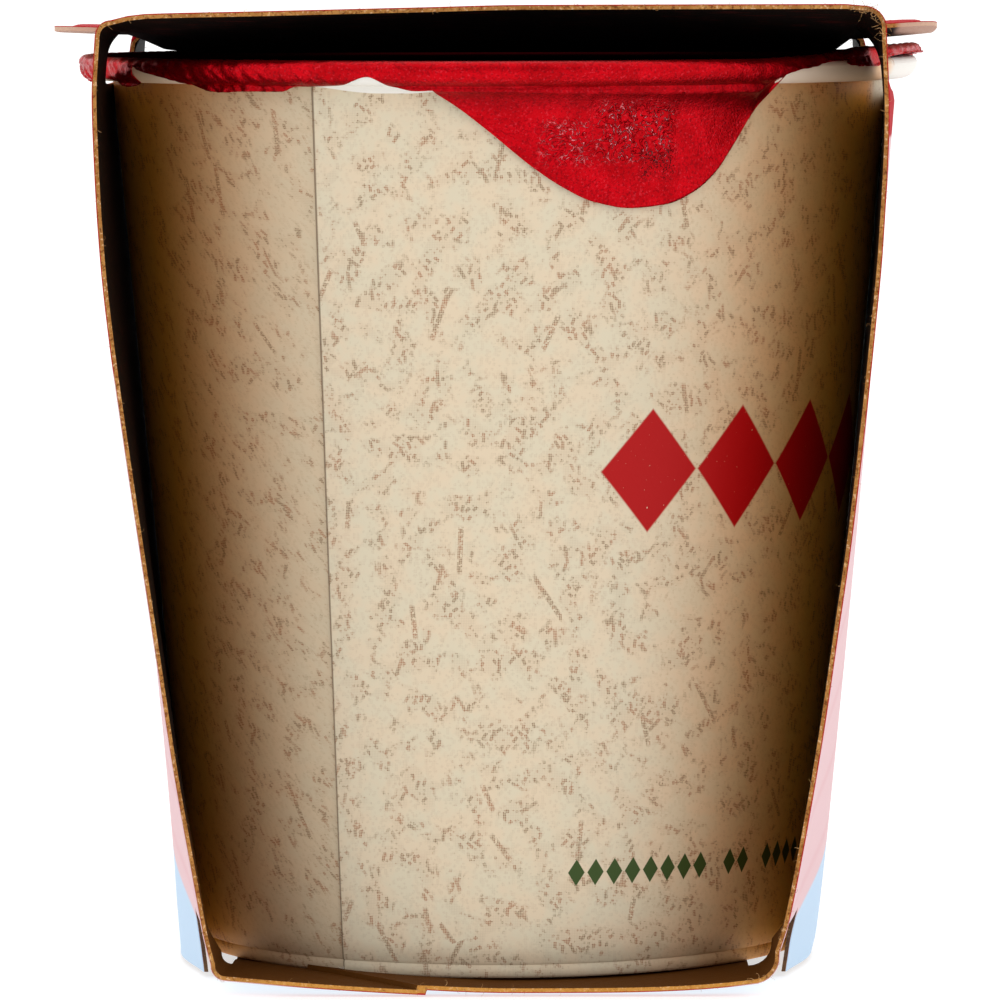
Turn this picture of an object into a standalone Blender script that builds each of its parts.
"""Paper yogurt pot with a foil lid, standing in its cardboard sleeve.

Three pieces: the shut pot (cup), the foil lid with its pull tab (lid) and the folded
sleeve (sleeve). Metres, +Z up. The pot's axis is the Z axis, the sleeve runs along Y,
and the origin is the middle of the sleeve's underside.
"""

import math

import bmesh
import bpy

GAP = 0.0003

# Sleeve, outer faces. END values hold at the open ends.
BOARD = 0.00038
SLEEVE_HALF_DEPTH = 0.0290
WALL_END_HALF_TOP = 0.0305
WALL_END_HALF_BASE = 0.0217
WALL_END_BOW = 0.00145
TOP_END_Z = 0.0760
TOP_TILT = 0.00035
TOP_SAG_POWER = 1.8
TOP_CORNER_R = 0.0020
BASE_CORNER_R = 0.0019
BASE_CORNER_LIFT = 0.0012
BASE_END_LIFT = 0.0003
BASE_FOOT_HALF = 0.0237
BASE_ARCH = 0.00006
FOLD_HOLD = 0.75
BULGE_HALF = 0.0170
BULGE_POWER = 5

# The glued lap of the base: the right panel's flap lies on the left panel's end.
LAP_END_X = -0.0056
LAP_START_X = -0.0150
LAP_BEVEL_LENGTH = 0.0090
LAP_BEVEL_END_X = -0.0062
LAP_STEP = 0.0001
LAP_RAMP_END_X = 0.0020

# Slots for the pot's rim and foot, and the tongues cut from them.
RIM_SLOT_HALF = 0.0170
RIM_SLOT_SQUARENESS = 7
RIM_SLOT_DEPTH = 0.0053
TONGUE_REACH = 0.0350
TONGUE_LENGTH = TONGUE_REACH - WALL_END_HALF_TOP + TOP_CORNER_R
TONGUE_CURL = 0.0009
BASE_SLOT_HALF = 0.0188
BASE_SLIT_Z = 0.0056
BASE_SLIT_WIDTH = 0.0003
BASE_TONGUE_Z = 0.0004

# Pot. Heights count from its own foot.
CUP_Z = 2 * BOARD + BASE_ARCH + GAP
CUP_FOOT_R = 0.0250
CUP_NECK_R = 0.0311
CUP_NECK_HEIGHT = 0.06935
NECK_CREASE = 0.0002
RIM_R = 0.0335
RIM_HEIGHT = 0.0713
RIM_UNDER_R = 0.0013
RIM_TOP_R = 0.00055
RIM_INNER_R = 0.0316
LID_SEAT_DROP = 0.00045
FOOT_HEM = 0.0004
SEAM_ANGLE = math.radians(-28.0)
SEAM_STEP = 0.00022
SEAM_EDGE = math.radians(0.4)
SEAM_FADE = math.radians(16.0)

# Lid foil. Angles are round the axis, 0 towards -Y and growing towards +X.
FOIL = 0.00016
LID_FLAT_R = 0.0298
LID_SEAT_R = 0.0308
SKIRT_DROP = 0.0018
SKIRT_WAVE_HEIGHT = 0.0003
SKIRT_WAVES = [(0.6, 5, 0.8), (0.4, 11, 2.1)]
TAB_ANGLE = math.radians(18.6)
TAB_LEFT_SPREAD = math.radians(27.5)
TAB_RIGHT_SPREAD = math.radians(24.0)
TAB_DROP = 0.0095
TAB_SHAPE = 0.55
TAB_TUCK = math.radians(78.0)
TAB_TUCK_DROP = 0.0015
TAB_EASE = 3.0

# How finely the round pieces and the board are divided.
COLUMNS = 72
NECK_ROWS = 6
RIM_STEPS = 4
RIM_EDGE_STEPS = 2
SKIN_EDGE_STEPS = 3
TAB_ROWS = 6
STATIONS = [0.0, 0.0032, 0.0064, 0.0095, 0.0122, 0.0145, 0.0162, RIM_SLOT_HALF,
            BASE_SLOT_HALF, 0.0212, BASE_FOOT_HALF, 0.0263, SLEEVE_HALF_DEPTH]
TOP_ROWS = 8
TONGUE_ROWS = 3
SLOT_ZONE = 0.0110
SLOT_ZONE_SHARES = [0.0, 0.07, 0.14, 0.22, 0.33, 0.48, 0.70, 1.0]
WALL_ROWS = 7
SLIT_ROWS = 3
BEND_ROWS = 3


def clear_scene():
    for item in list(bpy.data.objects):
        bpy.data.objects.remove(item, do_unlink=True)


def material(name, colour, roughness, metallic=0.0):
    made = bpy.data.materials.new(name)
    made.use_nodes = True
    shader = made.node_tree.nodes["Principled BSDF"]
    shader.inputs["Base Color"].default_value = (*colour, 1.0)
    shader.inputs["Roughness"].default_value = roughness
    shader.inputs["Metallic"].default_value = metallic
    return made


def add_object(name, bm, finish, sharp_degrees=40.0):
    bmesh.ops.recalc_face_normals(bm, faces=bm.faces)
    mesh = bpy.data.meshes.new(name)
    bm.to_mesh(mesh)
    bm.free()
    mesh.materials.append(finish)
    mesh.shade_smooth()
    mesh.set_sharp_from_angle(angle=math.radians(sharp_degrees))
    made = bpy.data.objects.new(name, mesh)
    bpy.context.scene.collection.objects.link(made)
    return made


def arc(centre_r, centre_z, radius, start, end, steps):
    """Points of an arc in the (radius, height) plane."""
    points = []
    for i in range(steps + 1):
        angle = start + (end - start) * i / steps
        points.append((centre_r + radius * math.cos(angle),
                       centre_z + radius * math.sin(angle)))
    return points


def polar(radius, angle, z):
    """A point at an angle counted from -Y towards +X."""
    return (radius * math.sin(angle), -radius * math.cos(angle), z)


def neck_radius(height):
    """Outer radius of the pot's tapered wall at a height above its foot."""
    return CUP_FOOT_R + (CUP_NECK_R - CUP_FOOT_R) * height / CUP_NECK_HEIGHT


# The pot: a solid of revolution with the step of its side seam.

def cup_profile():
    """Half section from the foot up to the seat of the lid, as (radius, height)."""
    points = [(CUP_FOOT_R - FOOT_HEM, 0.0), (CUP_FOOT_R, FOOT_HEM)]
    for i in range(1, NECK_ROWS):
        height = FOOT_HEM + (CUP_NECK_HEIGHT - FOOT_HEM) * i / NECK_ROWS
        points.append((neck_radius(height), height))
    points.append((CUP_NECK_R, CUP_NECK_HEIGHT - NECK_CREASE))
    points += arc(RIM_R - RIM_UNDER_R, CUP_NECK_HEIGHT + RIM_UNDER_R, RIM_UNDER_R,
                  -math.pi / 2, 0.0, RIM_STEPS)
    points += arc(RIM_R - RIM_TOP_R, RIM_HEIGHT - RIM_TOP_R, RIM_TOP_R,
                  0.0, math.pi / 2, RIM_EDGE_STEPS)
    points.append((RIM_INNER_R, RIM_HEIGHT))
    points.append((RIM_INNER_R - LID_SEAT_DROP, RIM_HEIGHT - LID_SEAT_DROP))
    return points


def seam_step(angle):
    """How far the overlapping layer stands out to the right of the side seam."""
    turn = (angle - SEAM_ANGLE) % (2 * math.pi)
    if turn > SEAM_FADE:
        return 0.0
    return SEAM_STEP * (1 - turn / SEAM_FADE)


def build_cup():
    bm = bmesh.new()
    angles = [2 * math.pi * i / COLUMNS for i in range(COLUMNS)]
    angles.append((SEAM_ANGLE - SEAM_EDGE) % (2 * math.pi))
    angles.append((SEAM_ANGLE + SEAM_EDGE / 2) % (2 * math.pi))
    angles.sort()
    rings = []
    for radius, height in cup_profile():
        on_wall = FOOT_HEM <= height < CUP_NECK_HEIGHT
        ring = []
        for angle in angles:
            step = seam_step(angle) if on_wall else 0.0
            ring.append(bm.verts.new(polar(radius + step, angle, CUP_Z + height)))
        rings.append(ring)
    for low, high in zip(rings, rings[1:]):
        for i in range(len(low)):
            j = (i + 1) % len(low)
            bm.faces.new((low[i], low[j], high[j], high[i]))
    bm.faces.new(rings[0][::-1])
    bm.faces.new(rings[-1])
    return add_object("cup", bm, material("paper_print", (0.62, 0.54, 0.40), 0.55))


# The lid: one sheet of foil, given its thickness outwards.

def tab_drop(angle):
    """How far below the skirt's edge the tab reaches at an angle, 0 outside the tab."""
    turn = (angle - TAB_ANGLE + math.pi) % (2 * math.pi) - math.pi
    spread = TAB_RIGHT_SPREAD if turn > 0 else TAB_LEFT_SPREAD
    if abs(turn) >= spread:
        return 0.0
    swell = 0.5 + 0.5 * math.cos(math.pi * turn / spread)
    return TAB_DROP * swell ** TAB_SHAPE


def skirt_drop(angle):
    """How far the crimped skirt reaches below the rim's top."""
    wave = sum(share * math.sin(count * angle + shift) for share, count, shift in SKIRT_WAVES)
    return SKIRT_DROP + SKIRT_WAVE_HEIGHT * wave


def lid_column(angle):
    """The foil's inner face at one angle, from the flat middle down to its lower edge."""
    seat = RIM_HEIGHT - LID_SEAT_DROP + GAP
    points = [(LID_FLAT_R, seat), (LID_SEAT_R, seat), (RIM_INNER_R, RIM_HEIGHT + GAP)]
    points += arc(RIM_R - RIM_TOP_R, RIM_HEIGHT - RIM_TOP_R, RIM_TOP_R + GAP,
                  math.pi / 2, 0.0, SKIN_EDGE_STEPS)
    under_r = RIM_UNDER_R + GAP
    under_z = CUP_NECK_HEIGHT + RIM_UNDER_R
    below = skirt_drop(angle) - (RIM_HEIGHT - under_z)
    skirt_turn = math.asin(min(1.0, max(0.0, below / under_r)))
    drop = tab_drop(angle)
    turn = skirt_turn + (TAB_TUCK - skirt_turn) * min(1.0, drop / TAB_TUCK_DROP)
    points += arc(RIM_R - RIM_UNDER_R, under_z, under_r, 0.0, -turn, RIM_STEPS)[1:]
    if drop > 0.0:
        points += tab_column(points[-1], drop)
    return points


def tab_column(start, drop):
    """The tab below the rim, easing from its tuck on to the pot's wall."""
    start_r, start_z = start
    end_z = min(start_z - FOIL, RIM_HEIGHT - SKIRT_DROP - drop)
    points = []
    for i in range(1, TAB_ROWS + 1):
        share = i / TAB_ROWS
        z = start_z + (end_z - start_z) * share
        rest_r = neck_radius(z) + SEAM_STEP + GAP
        points.append((rest_r + (start_r - rest_r) * math.exp(-TAB_EASE * share), z))
    return points


def build_lid():
    bm = bmesh.new()
    columns = []
    for i in range(COLUMNS):
        angle = 2 * math.pi * i / COLUMNS
        columns.append([bm.verts.new(polar(r, angle, CUP_Z + z)) for r, z in lid_column(angle)])
    for i in range(COLUMNS):
        left = columns[i]
        right = columns[(i + 1) % COLUMNS]
        both = min(len(left), len(right))
        for k in range(both - 1):
            bm.faces.new((left[k], left[k + 1], right[k + 1], right[k]))
        for k in range(both - 1, len(left) - 1):
            bm.faces.new((left[k], left[k + 1], right[both - 1]))
        for k in range(both - 1, len(right) - 1):
            bm.faces.new((left[both - 1], right[k + 1], right[k]))
    bm.faces.new([column[0] for column in columns])
    lid = add_object("lid", bm, material("red_foil", (0.42, 0.012, 0.02), 0.3, 0.35))
    skin = lid.modifiers.new("foil thickness", "SOLIDIFY")
    skin.thickness = FOIL
    skin.offset = 1.0
    return lid


# The sleeve's form: heights and half widths of its outer faces.

def rise(value, start, end, power=1.6):
    """0 up to start and 1 from end, on a power curve between."""
    share = min(1.0, max(0.0, (value - start) / (end - start)))
    return share ** power


def top_z(x, y):
    """The top panel flares up to the open ends and rests just over the lid between."""
    middle = CUP_Z + RIM_HEIGHT + GAP + FOIL + GAP + BOARD
    end = TOP_END_Z + TOP_TILT * x / WALL_END_HALF_TOP
    return middle + (end - middle) * (abs(y) / SLEEVE_HALF_DEPTH) ** TOP_SAG_POWER


def base_z(x, y):
    """The base stands on four feet, arches a little between them and lifts to its ends."""
    across = min(1.0, abs(x) / (WALL_END_HALF_BASE - BASE_CORNER_R))
    along = min(1.0, abs(y) / BASE_FOOT_HALF)
    arch = BASE_ARCH * (1 - (across * along) ** 2)
    lift = BASE_END_LIFT + BASE_CORNER_LIFT * (x / WALL_END_HALF_BASE) ** 2
    return arch + lift * rise(abs(y), BASE_FOOT_HALF, SLEEVE_HALF_DEPTH, 1.0)


def wall_end_half(z):
    """Half width over the bowed walls at the open ends."""
    share = z / TOP_END_Z
    line = WALL_END_HALF_BASE + (WALL_END_HALF_TOP - WALL_END_HALF_BASE) * share
    return line + 4 * WALL_END_BOW * share * (1 - share)


def bulge_share(y):
    """The share of the pot's push that a wall takes: flat beside the pot, none at the ends."""
    tail = 1 / (1 + (SLEEVE_HALF_DEPTH / BULGE_HALF) ** BULGE_POWER)
    return (1 / (1 + (abs(y) / BULGE_HALF) ** BULGE_POWER) - tail) / (1 - tail)


def wall_half(y, z, tongue=False):
    """Half width over the walls, which the pot pushes out and the folds hold straight."""
    height = min(z - CUP_Z, CUP_NECK_HEIGHT)
    hugging = neck_radius(height) + GAP + BOARD
    hold_top = 1 - FOLD_HOLD * rise(z, CUP_Z + CUP_NECK_HEIGHT, TOP_END_Z)
    hold_base = 1.0 if tongue else rise(z, 0.0, BASE_SLIT_Z, 0.8)
    bulge = bulge_share(y) * hold_top * hold_base
    end = wall_end_half(z)
    return end + (hugging - end) * bulge


def slot_share(y):
    """Depth of the rim's slot, and length of the tongue cut from it, as a share of the most."""
    if abs(y) >= RIM_SLOT_HALF:
        return 0.0
    return math.sqrt(1 - (abs(y) / RIM_SLOT_HALF) ** RIM_SLOT_SQUARENESS)


def wall_point(side, y, drop):
    """Outer point of a wall at a distance on the board from the top fold's start."""
    start_x = WALL_END_HALF_TOP - TOP_CORNER_R
    start_z = top_z(side * start_x, y)
    bend = TOP_CORNER_R * math.pi / 2
    if drop > bend:
        z = start_z - TOP_CORNER_R - (drop - bend)
        return (side * wall_half(y, z), y, z)
    turn = drop / TOP_CORNER_R
    push = wall_half(y, start_z - TOP_CORNER_R) - WALL_END_HALF_TOP
    x = start_x + TOP_CORNER_R * math.sin(turn) + push * (drop / bend) ** 2
    return (side * x, y, start_z - TOP_CORNER_R * (1 - math.cos(turn)))


def base_bend_point(side, y, share):
    """Outer point of the fold between wall and base, share 0 on the wall to 1 on the base."""
    turn = share * math.pi / 2
    centre_x = WALL_END_HALF_BASE - BASE_CORNER_R
    x = centre_x + BASE_CORNER_R * math.cos(turn)
    z = BASE_CORNER_R * (1 - math.sin(turn)) + base_z(side * centre_x, y)
    return (side * x, y, z)


# The sleeve's board: quads over named corners, each with an outer and an inner point.

class Board:
    def __init__(self):
        self.corners = {}
        self.same = {}
        self.cells = []

    def add_cell(self, keys):
        """A cell over four corners, fewer where two of them are the same corner."""
        kept = []
        for key in keys:
            key = self.same.get(key, key)
            if key not in kept:
                kept.append(key)
        if len(kept) > 2:
            self.cells.append(kept)

    def add_runs(self, run, next_run):
        """The cells between two lines of corners."""
        for i in range(len(run) - 1):
            self.add_cell((run[i], next_run[i], next_run[i + 1], run[i + 1]))

    def solid(self):
        """Both faces of every cell, and the cut edge wherever a cell has no neighbour."""
        bm = bmesh.new()
        used = {key for cell in self.cells for key in cell}
        made = {key: [bm.verts.new(point) for point in self.corners[key]]
                for key in self.corners if key in used}
        edges = {}
        for cell in self.cells:
            bm.faces.new([made[key][0] for key in cell])
            bm.faces.new([made[key][1] for key in reversed(cell)])
            for a, b in zip(cell, cell[1:] + cell[:1]):
                edges.setdefault(frozenset((a, b)), []).append((a, b))
        for sides in edges.values():
            if len(sides) == 1:
                a, b = sides[0]
                bm.faces.new((made[b][0], made[a][0], made[a][1], made[b][1]))
        return bm


def inner_points(points, side):
    """The points of a run down one wall, moved inwards by the board's thickness."""
    last = len(points) - 1
    moved = []
    for i, (x, y, z) in enumerate(points):
        before = points[max(i - 1, 0)]
        after = points[min(i + 1, last)]
        run_x = after[0] - before[0]
        run_z = after[2] - before[2]
        scale = side * BOARD / math.hypot(run_x, run_z)
        moved.append((x + run_z * scale, y, z - run_x * scale))
    return moved


def add_top(board, j, y):
    half = WALL_END_HALF_TOP - TOP_CORNER_R
    for i in range(TOP_ROWS + 1):
        x = -half + 2 * half * i / TOP_ROWS
        z = top_z(x, y)
        board.corners["top", i, j] = ((x, y, z), (x, y, z - BOARD))


def add_top_tongue(board, side, j, y):
    """The tongue goes on from the top panel over the slot it is cut from, curling up a little."""
    start = WALL_END_HALF_TOP - TOP_CORNER_R
    for i in range(1, TONGUE_ROWS + 1):
        reach = TONGUE_LENGTH * slot_share(y) * i / TONGUE_ROWS
        x = side * (start + reach)
        z = top_z(x, y) + TONGUE_CURL * reach / TONGUE_LENGTH
        board.corners["tongue", side, i, j] = ((x, y, z), (x, y, z - BOARD))


def add_wall(board, side, j, y):
    """A wall from the top fold, or the slot's lower edge, down to the slit's top."""
    slot = RIM_SLOT_DEPTH * slot_share(y)
    points = [wall_point(side, y, slot + (SLOT_ZONE - slot) * share)
              for share in SLOT_ZONE_SHARES]
    zone_z = points[-1][2]
    for i in range(1, WALL_ROWS + 1):
        z = zone_z + (BASE_SLIT_Z - zone_z) * i / WALL_ROWS
        points.append((side * wall_half(y, z), y, z))
    for i, pair in enumerate(zip(points, inner_points(points, side))):
        board.corners["wall", side, i, j] = pair
    if slot == 0.0:
        top_edge = ("top", 0 if side < 0 else TOP_ROWS, j)
        board.same["wall", side, 0, j] = top_edge
        for i in range(1, TONGUE_ROWS + 1):
            board.same["tongue", side, i, j] = top_edge


def add_end_strip(board, side, j, y):
    """Below the slit's top the wall's end strips turn in to the base fold."""
    low = BASE_CORNER_R + base_z(side * WALL_END_HALF_BASE, y)
    points = []
    for i in range(SLIT_ROWS + 1):
        share = i / SLIT_ROWS
        z = BASE_SLIT_Z + (low - BASE_SLIT_Z) * share
        x = wall_half(y, z) + (WALL_END_HALF_BASE - wall_half(y, low)) * share ** 2
        points.append((side * x, y, z))
    points += [base_bend_point(side, y, i / BEND_ROWS) for i in range(1, BEND_ROWS + 1)]
    for i, pair in enumerate(zip(points, inner_points(points, side))):
        board.corners["strip", side, i, j] = pair


def add_foot_tongue(board, side, j, y):
    """Between the slits the wall goes straight down past the pot's foot."""
    if abs(y) == BASE_SLOT_HALF:
        y -= math.copysign(BASE_SLIT_WIDTH, y)
    for i in range(1, SLIT_ROWS + 1):
        z = BASE_SLIT_Z + (BASE_TONGUE_Z - BASE_SLIT_Z) * i / SLIT_ROWS
        x = side * wall_half(y, z, tongue=True)
        board.corners["foot", side, i, j] = ((x, y, z), (x - side * BOARD, y, z))


def base_rows(y):
    """The base from left to right as (x, outer lift, inner lift)."""
    bevel = rise(abs(y), SLEEVE_HALF_DEPTH - LAP_BEVEL_LENGTH, SLEEVE_HALF_DEPTH, 1.0)
    lap_x = LAP_START_X + (LAP_BEVEL_END_X - LAP_START_X) * bevel
    fold = WALL_END_HALF_BASE - BASE_CORNER_R
    ramp_x = (LAP_END_X + LAP_RAMP_END_X) / 2
    return [
        (-fold, 0.0, BOARD),
        ((LAP_START_X - fold) / 2, 0.0, BOARD),
        (lap_x - LAP_STEP, 0.0, BOARD),
        (lap_x, 0.0, 2 * BOARD),
        (LAP_END_X, 0.0, 2 * BOARD),
        (LAP_END_X + LAP_STEP, BOARD, 2 * BOARD),
        (ramp_x, BOARD / 2, 3 * BOARD / 2),
        (LAP_RAMP_END_X, 0.0, BOARD),
        ((LAP_RAMP_END_X + fold) / 2, 0.0, BOARD),
        (fold, 0.0, BOARD),
    ]


def add_base(board, j, y):
    for i, (x, outer, inner) in enumerate(base_rows(y)):
        z = base_z(x, y)
        board.corners["base", i, j] = ((x, y, z + outer), (x, y, z + inner))


def wall_run(side, j, base_row, in_base_slot):
    """The line of corners down one wall, to the foot tongue's end or round to the base."""
    wall_count = len(SLOT_ZONE_SHARES) + WALL_ROWS
    run = [("wall", side, i, j) for i in range(wall_count)]
    if in_base_slot:
        return run + [("foot", side, i, j) for i in range(1, SLIT_ROWS + 1)]
    run += [("strip", side, i, j) for i in range(1, SLIT_ROWS + BEND_ROWS)]
    return run + [("base", base_row, j)]


def add_cells(board, j, middle):
    """The cells between station j and the next. The slots have none."""
    last_base = len(base_rows(middle)) - 1
    board.add_runs([("top", i, j) for i in range(TOP_ROWS + 1)],
                   [("top", i, j + 1) for i in range(TOP_ROWS + 1)])
    board.add_runs([("base", i, j + 1) for i in range(last_base + 1)],
                   [("base", i, j) for i in range(last_base + 1)])
    in_base_slot = abs(middle) < BASE_SLOT_HALF
    for side in (-1, 1):
        here, there = (j, j + 1) if side > 0 else (j + 1, j)
        base_row = 0 if side < 0 else last_base
        board.add_runs(wall_run(side, here, base_row, in_base_slot),
                       wall_run(side, there, base_row, in_base_slot))
        if abs(middle) < RIM_SLOT_HALF:
            top_row = 0 if side < 0 else TOP_ROWS
            board.add_runs(*[[("top", top_row, s)]
                             + [("tongue", side, i, s) for i in range(1, TONGUE_ROWS + 1)]
                             for s in (here, there)])


def build_sleeve():
    board = Board()
    stations = [-y for y in reversed(STATIONS[1:])] + STATIONS
    for j, y in enumerate(stations):
        add_top(board, j, y)
        add_base(board, j, y)
        for side in (-1, 1):
            add_wall(board, side, j, y)
            add_top_tongue(board, side, j, y)
            add_end_strip(board, side, j, y)
            add_foot_tongue(board, side, j, y)
    for j in range(len(stations) - 1):
        add_cells(board, j, (stations[j] + stations[j + 1]) / 2)
    return add_object("sleeve", board.solid(), material("kraft_board", (0.30, 0.17, 0.07), 0.8))


clear_scene()
build_cup()
build_lid()
build_sleeve()
